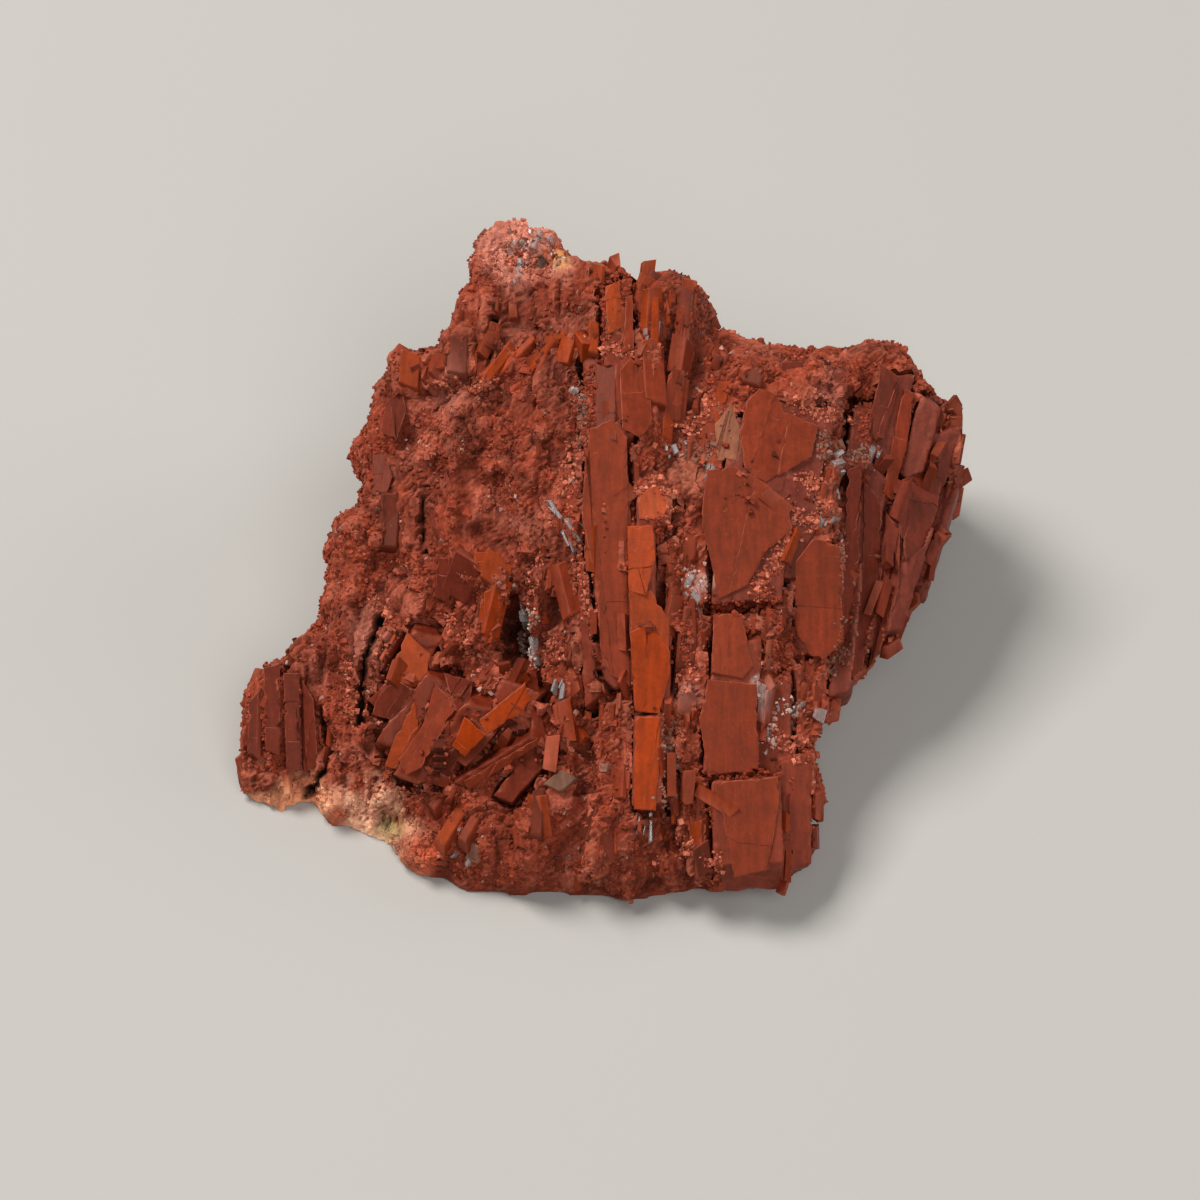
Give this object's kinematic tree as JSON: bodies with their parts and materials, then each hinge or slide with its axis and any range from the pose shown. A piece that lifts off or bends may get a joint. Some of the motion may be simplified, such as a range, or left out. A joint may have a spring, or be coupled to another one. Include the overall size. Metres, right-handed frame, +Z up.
{
  "type": "gypsum specimen",
  "caption": "Wedge of granular red rock with fans of flat red gypsum blades and glossy prisms grown into its sloping face, resting on a flat underside.",
  "frame": {"origin": "centre of the bounding box's bottom face, on the surface that the specimen lies on", "axes": "+X to the right across the crystal face, +Y towards the high back, +Z up; the face looks up and towards -Y"},
  "size_m": [0.03, 0.0252, 0.0145],
  "materials": {
    "rock": "granular, matt, with pink, white and cream patches",
    "gypsum_centre": "smooth cleavage faces, silky to glossy",
    "gypsum_right": "smooth cleavage faces, silky",
    "gypsum_lower_right": "smooth cleavage faces, silky",
    "gypsum_lower_left": "smooth cleavage faces, glossy"
  },
  "bodies": {
    "root": {"matrix": "rock", "blade_group_centre": "gypsum_centre", "blade_group_right": "gypsum_right", "block_group_lower_right": "gypsum_lower_right", "crystal_group_lower_left": "gypsum_lower_left"}
  },
  "joints": []
}
